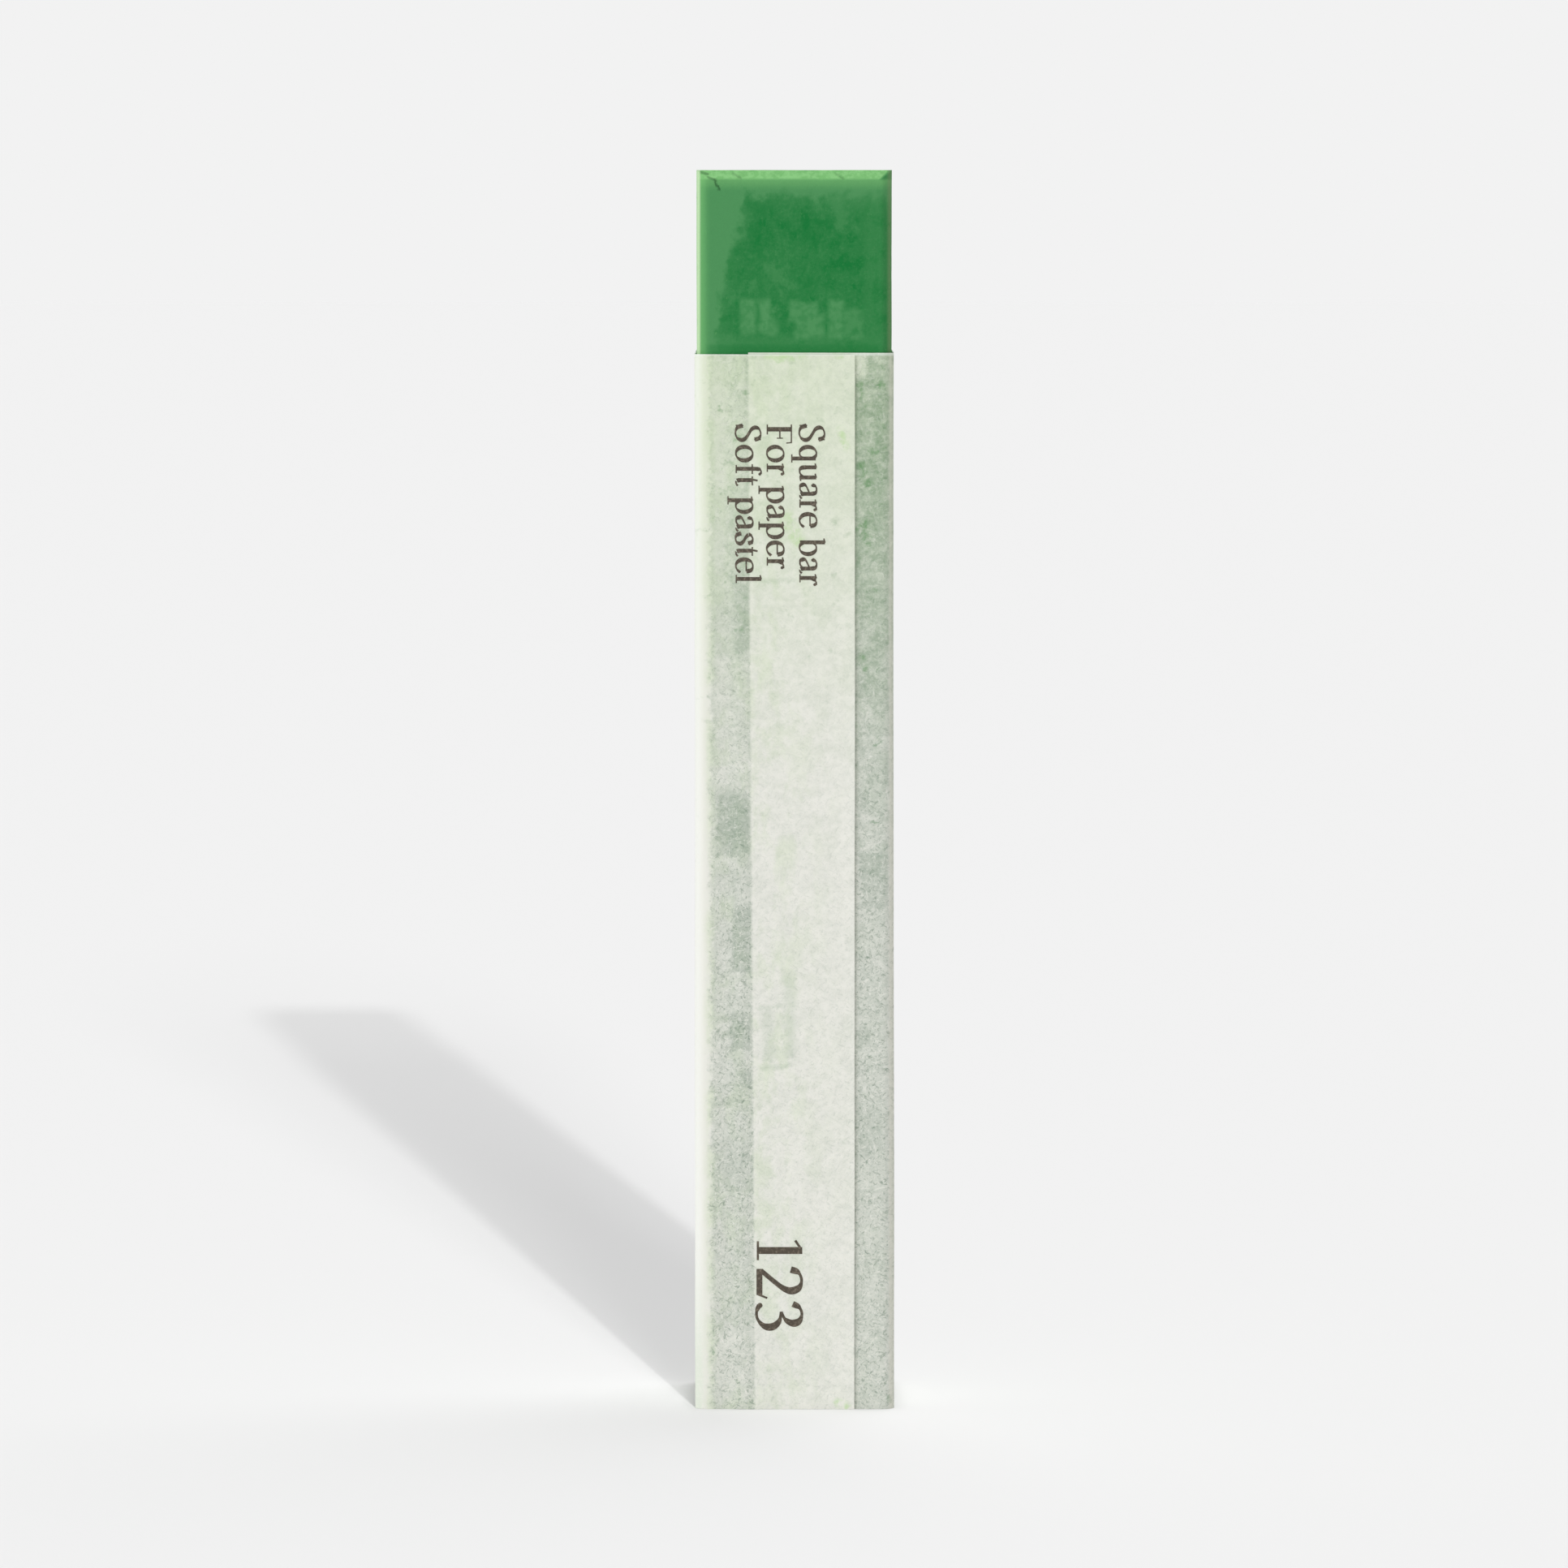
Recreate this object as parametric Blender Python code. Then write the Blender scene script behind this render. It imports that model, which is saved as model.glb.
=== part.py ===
"""A square soft pastel stick in its paper sleeve, standing on its end.

Frame: metres, +Z up along the stick, origin at the centre of the stick's lower end, where it stands.
-Y is the face where the sleeve laps over itself, and +X is to the right of someone looking at that face.
"""

import math

import bmesh
import bpy

MM = 0.001

# The stick
STICK_WIDTH = 10.2 * MM
STICK_LENGTH = 65.0 * MM
EDGE_RADIUS = 0.5 * MM  # all round the front and the back; the four short edges between them are sharp
EDGE_SEGMENTS = 4

# The paper and how it lies on the stick
PAPER = 0.06 * MM  # thickness
PAPER_GAP = 0.03 * MM  # between the stick and the paper's inner face
SLEEVE_HEIGHT = 55.5 * MM
GLUE = 0.03 * MM  # thickness of the glue film
GLUE_GAP = 0.01 * MM  # between the film and the paper on either side

# Where the lap runs across the front, along X from the stick's centre
UNDER_EDGE_X = -2.2 * MM  # free edge of the layer underneath
OUTER_EDGE_X = 3.17 * MM  # free edge of the layer on top
STEP_START_X = -3.6 * MM  # the top layer lifts off the stick here
STEP_END_X = -2.5 * MM  # and lies at its full height from here
GLUE_EDGE_MARGIN = 0.4 * MM  # bare paper between each free edge and the glue
GLUE_END_MARGIN = 1.5 * MM  # bare paper above and below the glue

CORNER_STEPS = 6
STEP_STEPS = 6
FACE_STEPS = 4

STICK_HALF = STICK_WIDTH / 2
CORNER_INSET = STICK_HALF - EDGE_RADIUS
INNER_LAYER = PAPER_GAP + PAPER / 2  # from the stick's face to the middle of the first layer
OUTER_LAYER = INNER_LAYER + PAPER + GLUE + 2 * GLUE_GAP  # to the middle of the layer on top


def clear_scene():
    for obj in list(bpy.data.objects):
        bpy.data.objects.remove(obj, do_unlink=True)


def principled(name, colour, roughness, metallic=0.0):
    material = bpy.data.materials.new(name)
    material.use_nodes = True
    shader = material.node_tree.nodes["Principled BSDF"]
    shader.inputs["Base Color"].default_value = (*colour, 1.0)
    shader.inputs["Roughness"].default_value = roughness
    shader.inputs["Metallic"].default_value = metallic
    return material


def node_from_bmesh(bm, name, material, parent):
    mesh = bpy.data.meshes.new(name)
    bmesh.ops.recalc_face_normals(bm, faces=bm.faces)
    bm.to_mesh(mesh)
    bm.free()
    mesh.materials.append(material)
    mesh.shade_smooth()
    mesh.set_sharp_from_angle(angle=math.radians(35))
    obj = bpy.data.objects.new(name, mesh)
    obj.parent = parent
    bpy.context.collection.objects.link(obj)
    return obj


def empty(name, location, parent=None):
    obj = bpy.data.objects.new(name, None)
    obj.location = location
    obj.parent = parent
    bpy.context.collection.objects.link(obj)
    return obj


def make_stick(parent):
    """A square bar of pressed pigment, its front and back faces rounded all round their edges."""
    bm = bmesh.new()
    bmesh.ops.create_cube(bm, size=1.0)
    bmesh.ops.scale(bm, vec=(STICK_WIDTH, STICK_WIDTH, STICK_LENGTH), verts=bm.verts)
    bmesh.ops.translate(bm, vec=(0, 0, STICK_LENGTH / 2), verts=bm.verts)
    face_edges = [e for e in bm.edges if e.verts[0].co.y * e.verts[1].co.y > 0]
    bmesh.ops.bevel(
        bm, geom=face_edges, offset=EDGE_RADIUS, segments=EDGE_SEGMENTS, profile=0.5, affect="EDGES"
    )
    material = principled("pastel_green", (0.022, 0.192, 0.050), 0.95)
    return node_from_bmesh(bm, "pastel_stick", material, parent)


def corner(centre_x, centre_y, start, radius):
    """A quarter turn of the sheet around one of the stick's edges, counterclockwise seen from above."""
    turn = []
    for i in range(CORNER_STEPS + 1):
        angle = start + math.pi / 2 * i / CORNER_STEPS
        point = (centre_x + radius * math.cos(angle), centre_y + radius * math.sin(angle))
        turn.append((point, (math.cos(angle), math.sin(angle))))
    return turn


def flat_run(x0, x1, layer0, layer1, steps):
    """Points across the front from x0 to x1, easing from one height above the stick to another."""
    points = []
    for i in range(steps + 1):
        t = i / steps
        ease = t * t * (3 - 2 * t)
        y = -(STICK_HALF + layer0 + (layer1 - layer0) * ease)
        points.append(((x0 + (x1 - x0) * t, y), (0.0, -1.0)))
    return points


def sheet_path():
    """The middle of the sheet seen from above, from the free edge underneath, counterclockwise, to the one on top.

    Each entry is a point and the direction away from the stick there.
    """
    radius = EDGE_RADIUS + INNER_LAYER
    path = flat_run(UNDER_EDGE_X, CORNER_INSET, INNER_LAYER, INNER_LAYER, FACE_STEPS)[:-1]
    path += corner(CORNER_INSET, -CORNER_INSET, -math.pi / 2, radius)
    path += corner(CORNER_INSET, CORNER_INSET, 0.0, radius)
    path += corner(-CORNER_INSET, CORNER_INSET, math.pi / 2, radius)
    path += corner(-CORNER_INSET, -CORNER_INSET, math.pi, radius)
    path += flat_run(STEP_START_X, STEP_END_X, INNER_LAYER, OUTER_LAYER, STEP_STEPS)
    path += flat_run(STEP_END_X, OUTER_EDGE_X, OUTER_LAYER, OUTER_LAYER, FACE_STEPS)[1:]
    return path


def make_sleeve(parent):
    """One sheet of paper wrapped around the stick, its last few millimetres lying on its first."""
    bm = bmesh.new()
    rings = []
    for (x, y), (away_x, away_y) in sheet_path():
        ring = []
        for side, z in ((-1, 0.0), (1, 0.0), (1, SLEEVE_HEIGHT), (-1, SLEEVE_HEIGHT)):
            offset = side * PAPER / 2
            ring.append(bm.verts.new((x + away_x * offset, y + away_y * offset, z)))
        rings.append(ring)
    for ring, following in zip(rings, rings[1:]):
        for i in range(4):
            j = (i + 1) % 4
            bm.faces.new((ring[i], ring[j], following[j], following[i]))
    bm.faces.new(rings[0])
    bm.faces.new(reversed(rings[-1]))
    material = principled("label_paper", (0.72, 0.74, 0.68), 0.8)
    return node_from_bmesh(bm, "paper_sleeve", material, parent)


def make_glue(parent):
    """The film of glue that closes the sleeve, between its two layers."""
    left = UNDER_EDGE_X + GLUE_EDGE_MARGIN
    right = OUTER_EDGE_X - GLUE_EDGE_MARGIN
    height = SLEEVE_HEIGHT - 2 * GLUE_END_MARGIN
    bm = bmesh.new()
    bmesh.ops.create_cube(bm, size=1.0)
    bmesh.ops.scale(bm, vec=(right - left, GLUE, height), verts=bm.verts)
    front_of_layer = STICK_HALF + INNER_LAYER + PAPER / 2
    centre = ((left + right) / 2, -(front_of_layer + GLUE_GAP + GLUE / 2), SLEEVE_HEIGHT / 2)
    bmesh.ops.translate(bm, vec=centre, verts=bm.verts)
    material = principled("dried_glue", (0.62, 0.57, 0.42), 0.35)
    return node_from_bmesh(bm, "seam_adhesive", material, parent)


def main():
    clear_scene()
    base = empty("base", (0, 0, 0))
    slide = empty("sleeve_slide", (0, 0, 0), base)
    make_stick(base)
    make_sleeve(slide)
    make_glue(slide)


main()
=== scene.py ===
"""Looks for a square soft pastel stick standing on its end in a thin paper sleeve.

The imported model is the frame. The detailed stick and sleeve replace their plain solids, and the print on the
sleeve is built on top of it. Lengths are in metres, in the frame's own axes; shaders work in millimetres.
"""

import math
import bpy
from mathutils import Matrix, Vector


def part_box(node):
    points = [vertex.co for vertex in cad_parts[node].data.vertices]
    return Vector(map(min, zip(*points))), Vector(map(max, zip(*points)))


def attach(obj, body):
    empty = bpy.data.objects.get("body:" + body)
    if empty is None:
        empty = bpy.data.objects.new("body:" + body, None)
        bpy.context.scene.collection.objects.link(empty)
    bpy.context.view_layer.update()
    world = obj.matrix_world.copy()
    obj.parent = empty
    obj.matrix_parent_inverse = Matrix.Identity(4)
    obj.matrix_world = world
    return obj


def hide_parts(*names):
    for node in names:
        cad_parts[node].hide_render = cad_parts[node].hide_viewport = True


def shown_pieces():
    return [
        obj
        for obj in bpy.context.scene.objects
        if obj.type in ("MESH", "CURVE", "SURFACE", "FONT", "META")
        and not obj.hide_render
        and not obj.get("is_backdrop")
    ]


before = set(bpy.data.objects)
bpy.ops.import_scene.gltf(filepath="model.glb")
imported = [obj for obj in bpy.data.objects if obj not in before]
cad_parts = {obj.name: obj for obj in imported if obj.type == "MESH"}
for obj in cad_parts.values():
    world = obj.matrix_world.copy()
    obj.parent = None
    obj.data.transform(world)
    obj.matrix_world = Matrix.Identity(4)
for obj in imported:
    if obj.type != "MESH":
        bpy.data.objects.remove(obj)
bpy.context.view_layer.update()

from types import SimpleNamespace

import bmesh
import bpy
import numpy as np
from mathutils import Vector, noise
from mathutils.geometry import delaunay_2d_cdt

MM = 0.001

_, STICK_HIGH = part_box("pastel_stick")
SLEEVE_LOW, SLEEVE_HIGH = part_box("paper_sleeve")

STICK_HALF = STICK_HIGH.x
STICK_TOP = STICK_HIGH.z
EDGE_RADIUS = 0.5 * MM
CORNER_INSET = STICK_HALF - EDGE_RADIUS

PAPER = 0.06 * MM
FIRST_LAYER = SLEEVE_HIGH.x - STICK_HALF - PAPER / 2  # from the stick's face to the middle of the sheet
TOP_LAYER = -SLEEVE_LOW.y - STICK_HALF - PAPER / 2
SLEEVE_TOP = SLEEVE_HIGH.z
WRAP_SLIP = 0.11 * MM  # the sheet's far end lies this much lower than its near end

UNDER_EDGE_X = -2.2 * MM  # the near end of the sheet, under the lap
UNDER_EDGE_TOP_X = UNDER_EDGE_X - 0.2 * MM  # where it lies at the sleeve's top
UNDER_EDGE_LEAN = 0.35 * MM  # how far it leans to the right from the sleeve's top to its bottom
FREE_EDGE_X = 3.17 * MM  # the far end, on top
STEP_START_X = -3.6 * MM  # where the far end starts to climb onto the near end
STEP_END_X = -2.6 * MM

INK_RISE = 0.012 * MM
INK_DEPTH = 0.006 * MM


# ---------------------------------------------------------------- small helpers


def srgb(red, green, blue):
    """A screen colour, 0 to 255 a channel, as the linear colour that a shader takes."""
    linear = []
    for channel in (red, green, blue):
        value = channel / 255
        linear.append(value / 12.92 if value <= 0.04045 else ((value + 0.055) / 1.055) ** 2.4)
    return (*linear, 1.0)


def smooth(value, low, high):
    """0 below low, 1 above high, and an S curve in between."""
    t = np.clip((value - low) / (high - low), 0.0, 1.0)
    return t * t * (3 - 2 * t)


def noise_at(x, y, z, scale):
    """Smooth noise, about -1 to 1, at a point in metres; scale is in cells per millimetre."""
    return noise.noise(Vector((x, y, z)) * (scale / MM))


def mesh_object(name, points, faces, body, material):
    mesh = bpy.data.meshes.new(name)
    mesh.from_pydata(points, [], faces)
    mesh.validate()
    mesh.materials.append(material)
    mesh.shade_smooth()
    mesh.set_sharp_from_angle(angle=math.radians(40))
    obj = bpy.data.objects.new(name, mesh)
    bpy.context.scene.collection.objects.link(obj)
    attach(obj, body)
    return obj


# ---------------------------------------------------------------- shader graphs


class Graph:
    """A material's node tree. Each method adds nodes and returns an output; numbers serve as outputs too."""

    def __init__(self, name):
        self.material = bpy.data.materials.new(name)
        self.material.use_nodes = True
        self.nodes = self.material.node_tree.nodes
        self.links = self.material.node_tree.links
        self.shader = self.nodes["Principled BSDF"]

    def put(self, value, socket):
        if isinstance(value, bpy.types.NodeSocket):
            self.links.new(value, socket)
        else:
            socket.default_value = value

    def math(self, operation, a, b=0.0, clamp=False):
        node = self.nodes.new("ShaderNodeMath")
        node.operation = operation
        node.use_clamp = clamp
        self.put(a, node.inputs[0])
        self.put(b, node.inputs[1])
        return node.outputs[0]

    def add(self, a, b):
        return self.math("ADD", a, b)

    def sub(self, a, b):
        return self.math("SUBTRACT", a, b)

    def mul(self, a, b):
        return self.math("MULTIPLY", a, b)

    def inverse(self, a):
        return self.math("SUBTRACT", 1.0, a, clamp=True)

    def either(self, a, b):
        return self.math("MAXIMUM", a, b)

    def step(self, value, low, high):
        """0 below low, 1 above high, and an S curve in between; low may be the larger."""
        if low > high:
            return self.inverse(self.step(value, high, low))
        node = self.nodes.new("ShaderNodeMapRange")
        node.interpolation_type = "SMOOTHSTEP"
        self.put(value, node.inputs["Value"])
        node.inputs["From Min"].default_value = low
        node.inputs["From Max"].default_value = high
        return node.outputs["Result"]

    def mix(self, share, a, b):
        node = self.nodes.new("ShaderNodeMix")
        node.data_type = "RGBA"
        self.put(share, node.inputs["Factor"])
        self.put(a, [i for i in node.inputs if i.name == "A" and i.type == "RGBA"][0])
        self.put(b, [i for i in node.inputs if i.name == "B" and i.type == "RGBA"][0])
        return [o for o in node.outputs if o.type == "RGBA"][0]

    def mix_value(self, share, a, b):
        """A number between a and b."""
        return self.add(a, self.mul(share, b - a))

    def stretch(self, vector, factors):
        node = self.nodes.new("ShaderNodeVectorMath")
        node.operation = "MULTIPLY"
        self.put(vector, node.inputs[0])
        node.inputs[1].default_value = factors
        return node.outputs[0]

    def noise(self, vector, scale, detail=2.0, roughness=0.5, distortion=0.0, seed=0.0):
        """Smooth noise about 0.5; scale is in cells per unit, and another seed gives another pattern."""
        if seed:
            moved = self.nodes.new("ShaderNodeVectorMath")
            self.put(vector, moved.inputs[0])
            moved.inputs[1].default_value = (seed * 13.7, seed * 7.3, seed * 5.9)
            vector = moved.outputs[0]
        node = self.nodes.new("ShaderNodeTexNoise")
        self.put(vector, node.inputs["Vector"])
        node.inputs["Scale"].default_value = scale
        node.inputs["Detail"].default_value = detail
        node.inputs["Roughness"].default_value = roughness
        node.inputs["Distortion"].default_value = distortion
        return node.outputs["Fac"]

    def millimetres(self):
        """The object's own coordinates in millimetres: the vector and its x, y and z."""
        coordinates = self.nodes.new("ShaderNodeTexCoord")
        vector = self.stretch(coordinates.outputs["Object"], (1000, 1000, 1000))
        return (vector, *self.split(vector))

    def split(self, vector):
        node = self.nodes.new("ShaderNodeSeparateXYZ")
        self.put(vector, node.inputs[0])
        return node.outputs[0], node.outputs[1], node.outputs[2]

    def join(self, x, y, z):
        node = self.nodes.new("ShaderNodeCombineXYZ")
        for value, socket in zip((x, y, z), node.inputs):
            self.put(value, socket)
        return node.outputs[0]

    def attribute(self, name):
        node = self.nodes.new("ShaderNodeAttribute")
        node.attribute_name = name
        return node.outputs["Vector"]

    def patch(self, x, z, box, soft):
        """1 inside the box (x0, x1, z0, z1) and 0 outside, fading over soft either side of its edge."""
        x0, x1, z0, z1 = box
        across = self.mul(self.step(x, x0 - soft, x0 + soft), self.step(x, x1 + soft, x1 - soft))
        along = self.mul(self.step(z, z0 - soft, z0 + soft), self.step(z, z1 + soft, z1 - soft))
        return self.mul(across, along)

    def marks(self, x, z, boxes, soft, combine="MAXIMUM"):
        """Patches for the rows (x0, x1, z0, z1, strength), combined where they overlap."""
        total = 0.0
        for *box, strength in boxes:
            total = self.math(combine, total, self.mul(self.patch(x, z, box, soft), strength))
        return total

    def stroke(self, x, z, start, end, width, core=0.1):
        """1 on the line from start to end, falling to 0 at width away; core is the share that stays solid."""
        run, rise = end[0] - start[0], end[1] - start[1]
        length_squared = run * run + rise * rise
        dx, dz = self.sub(x, start[0]), self.sub(z, start[1])
        along = self.add(self.mul(dx, run / length_squared), self.mul(dz, rise / length_squared))
        along = self.math("MAXIMUM", self.math("MINIMUM", along, 1.0), 0.0)
        off_x = self.sub(dx, self.mul(along, run))
        off_z = self.sub(dz, self.mul(along, rise))
        distance = self.math("SQRT", self.add(self.mul(off_x, off_x), self.mul(off_z, off_z)))
        return self.step(distance, width, width * core)

    def lines(self, x, z, rows):
        """Strokes for the rows (start, end, width)."""
        total = 0.0
        for start, end, width in rows:
            total = self.either(total, self.stroke(x, z, start, end, width))
        return total

    def fibres(self, flat, degrees, seed):
        """Short soft fibres in the plane of the sheet, turned by this many degrees, 0 to 1."""
        turn = self.nodes.new("ShaderNodeVectorRotate")
        self.put(flat, turn.inputs["Vector"])
        self.put(math.radians(degrees), turn.inputs["Angle"])
        drawn_out = self.stretch(turn.outputs[0], (1.0, 2.3, 1.0))
        return self.step(self.noise(drawn_out, 3.4, 2.0, 0.6, 0.9, seed), 0.52, 0.76)

    def bump(self, height, distance, strength):
        node = self.nodes.new("ShaderNodeBump")
        self.put(height, node.inputs["Height"])
        node.inputs["Strength"].default_value = strength
        node.inputs["Distance"].default_value = distance
        return node.outputs[0]

    def finish(self, colour, roughness, normal=None, specular=0.3):
        self.put(colour, self.shader.inputs["Base Color"])
        self.put(roughness, self.shader.inputs["Roughness"])
        self.shader.inputs["Specular IOR Level"].default_value = specular
        if normal is not None:
            self.links.new(normal, self.shader.inputs["Normal"])
        return self.material


# ---------------------------------------------------------------- materials


# Sizes in millimetres, as the shaders take them.
HALF_MM = STICK_HALF / MM
TOP_MM = STICK_TOP / MM
WRAP_MM = SLEEVE_TOP / MM
FREE_EDGE_MM = FREE_EDGE_X / MM

PASTEL_MAIN = srgb(46, 128, 68)
PASTEL_DEEP = srgb(24, 121, 57)
# Dust, and painted highlight where the front's left side and top are paler.
PASTEL_DUST_AND_LIGHT = srgb(82, 150, 93)
PASTEL_PALE = srgb(124, 190, 117)
# Painted highlights, with dust: the front's top chamfer, and the rim down its left corner.
PASTEL_BRIGHT = srgb(140, 204, 132)
PASTEL_RIM = srgb(190, 222, 176)
PASTEL_SOILED = srgb(120, 144, 104)
PASTEL_CRACK = srgb(28, 72, 38)

# Marks on the front, in millimetres: boxes (x0, x1, z0, z1, strength), and cracks (start, end, strength).
SMUDGES = [
    (-2.78, -2.00, 56.45, 58.30, 1.0),
    (-1.80, -1.25, 56.50, 58.35, 1.0),
    (-1.40, -0.80, 56.35, 58.00, 0.75),
    (-0.30, 1.25, 57.10, 58.15, 0.85),
    (0.00, 1.60, 56.25, 57.50, 0.85),
    (1.80, 2.55, 56.20, 58.25, 0.9),
    (2.50, 3.60, 56.20, 57.70, 0.6),
]
SCUFFS = [
    (4.20, 4.75, 62.10, 62.50, 0.6),
    (4.10, 4.60, 60.90, 61.25, 0.4),
    (4.30, 4.80, 58.20, 59.00, 0.6),
    (4.20, 4.80, 57.00, 57.45, 0.5),
    (0.95, 2.05, 61.95, 62.40, 0.80),
    (0.45, 1.05, 61.35, 62.15, 0.60),
    (-2.30, -1.60, 60.10, 61.00, 0.5),
    (-2.00, -1.20, 58.90, 59.60, 0.4),
    (0.30, 1.00, 58.80, 59.70, 0.6),
    (-2.30, -1.30, 62.80, 63.40, 0.4),
    (-2.30, -1.80, 61.10, 62.20, 0.5),
    (-1.10, -0.60, 57.10, 58.10, 0.6),
]
CRACKS = [
    ((-4.80, 64.88), (-4.52, 64.78), 0.8),
    ((-4.45, 64.62), (-4.10, 64.48), 0.8),
    ((-4.12, 64.50), (-3.92, 63.98), 1.0),
    ((-3.16, 64.82), (-2.96, 64.70), 0.45),
    ((-2.92, 64.66), (-2.80, 64.58), 0.5),
    ((2.20, 64.80), (2.36, 64.68), 0.4),
    ((2.42, 64.66), (2.54, 64.56), 0.5),
]
CRACK_WIDTH = 0.11
SIDE_PALE_EDGE = -4.15  # the paler band down the front's left side, dust and painted highlight, ends here, and further in near the top


def pastel_mottle(g, at):
    """The pigment itself: clouds of deeper green, a chalky grain, and a thin haze of dust."""
    clouds = g.noise(at.mm, 0.5, 4.0, 0.62, 0.3)
    mottle = g.noise(g.stretch(at.mm, (1.0, 1.0, 0.7)), 2.2, 4.0, 0.62)
    tone = g.add(g.mul(clouds, 0.55), g.mul(mottle, 0.45))
    colour = g.mix(g.step(tone, 0.51, 0.64), PASTEL_MAIN, PASTEL_DEEP)
    chalk = g.noise(at.mm, 6.0, 3.0, 0.65, seed=8)
    colour = g.mix(g.mul(g.step(chalk, 0.52, 0.70), 0.45), colour, PASTEL_DEEP)
    colour = g.mix(g.mul(g.step(chalk, 0.48, 0.32), 0.22), colour, PASTEL_DUST_AND_LIGHT)
    haze = g.mul(g.step(tone, 0.50, 0.38), 0.40)
    low_haze = g.mul(g.step(g.add(at.z, mottle), 57.4, 56.4), 0.28)
    right_haze = g.mul(g.step(g.add(at.x, mottle), 3.9, 4.5), 0.22)
    high_haze = g.mul(g.mul(g.step(at.z, 61.5, 64.0), g.step(at.x, 1.0, 4.0)), 0.35)
    haze = g.either(haze, g.mul(at.front, g.either(low_haze, g.either(right_haze, high_haze))))
    return g.mix(haze, colour, PASTEL_DUST_AND_LIGHT)


def pastel_dust_and_light(g, at, colour):
    """Dust and a painted highlight down the front's left side and along its top, where the light falls, and
    dust in loose patches on the other faces.
    """
    rising = g.math("POWER", g.step(at.z, TOP_MM - 12.0, TOP_MM + 3.5), 1.6)
    side_edge = g.add(SIDE_PALE_EDGE, g.mul(rising, 2.6))
    from_side = g.add(g.sub(at.x, side_edge), g.add(g.mul(at.wander, 1.2), g.mul(at.ragged, 0.15)))
    side_dust_and_light = g.add(g.mul(g.step(from_side, 0.22, -0.18), 0.70), g.mul(g.step(from_side, 1.0, 0.0), 0.30))
    from_top = g.add(g.sub(TOP_MM, at.z), g.add(g.mul(at.wander, 1.9), g.mul(at.ragged, 0.35)))
    top_dust_and_light = g.add(g.mul(g.step(from_top, 1.65, 1.00), 0.75), g.mul(g.step(from_top, 2.4, 1.2), 0.25))
    # Painted highlight with dust: the front's left side and top are paler, as the light from the upper left
    # makes them.
    colour = g.mix(g.mul(at.front, g.mul(g.either(side_dust_and_light, top_dust_and_light), 0.94)), colour, PASTEL_DUST_AND_LIGHT)
    loose = g.mul(g.step(g.noise(at.mm, 0.9, 4.0, 0.65, seed=3), 0.52, 0.66), 0.6)
    return g.mix(g.mul(at.elsewhere, loose), colour, PASTEL_DUST_AND_LIGHT)


def pastel_smudges(g, at, colour):
    """Pale marks on the front, rubbed above the sleeve."""
    rub = g.noise(at.mm, 2.4, 2.0, 0.5, seed=4)
    smudges = g.marks(at.smudge_x, at.smudge_z, SMUDGES, 0.2)
    smudges = g.mul(g.mul(smudges, at.front), g.add(0.55, g.mul(g.step(rub, 0.34, 0.60), 0.5)))
    return g.mix(smudges, colour, PASTEL_DUST_AND_LIGHT)


def pastel_edges(g, at, colour):
    """Paler edges, brightest along the front's top and left, where dust and a painted highlight stand for the
    light that falls there, and painted shade on the darker mitre at the top right corner.
    """
    below_top = g.add(g.sub(TOP_MM, at.z), g.mul(g.sub(at.worn, 0.5), 0.12))
    from_left, from_right = g.add(at.x, HALF_MM), g.sub(HALF_MM, at.x)
    left_of_mitre = g.step(g.sub(from_right, below_top), 0.02, 0.24)
    near_rim = g.step(g.add(g.math("ABSOLUTE", at.y), at.worn), HALF_MM - 0.4, HALF_MM)
    # Painted highlight with dust on the top chamfer, lit from above.
    top_band = g.mul(g.mul(g.step(below_top, 0.56, 0.40), left_of_mitre), near_rim)
    top_colour = g.mix(g.step(at.worn, 0.38, 0.62), PASTEL_PALE, PASTEL_BRIGHT)
    colour = g.mix(g.mul(g.mul(g.step(below_top, 1.15, 0.5), near_rim), 0.44), colour, PASTEL_PALE)
    colour = g.mix(top_band, colour, top_colour)
    # Painted highlight with dust down the front's left edge, and a brighter rim on the corner, where the light
    # from the left falls.
    colour = g.mix(g.mul(g.mul(g.step(from_left, 0.80, 0.1), near_rim), 0.50), colour, PASTEL_PALE)
    colour = g.mix(g.mul(g.step(from_left, 0.26, 0.12), at.front), colour, PASTEL_RIM)
    # Painted shade: the mitre at the top right keeps the darker green, as it turns away from the light.
    mitre = g.mul(g.inverse(left_of_mitre), g.step(below_top, 0.60, 0.40))
    colour = g.mix(g.mul(mitre, 0.7), colour, PASTEL_MAIN)
    soiled = g.mul(g.mul(g.step(from_right, 0.34, 0.10), at.front), g.step(at.z, 53.0, 56.0))
    colour = g.mix(g.mul(soiled, 0.55), colour, PASTEL_SOILED)
    rims = g.math("MINIMUM", g.math("ABSOLUTE", at.x), g.math("ABSOLUTE", at.y))
    rims = g.step(g.add(rims, g.mul(at.worn, 0.5)), HALF_MM - 0.3, HALF_MM + 0.1)
    return g.mix(g.mul(rims, g.mul(at.elsewhere, 0.6)), colour, PASTEL_PALE)


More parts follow.
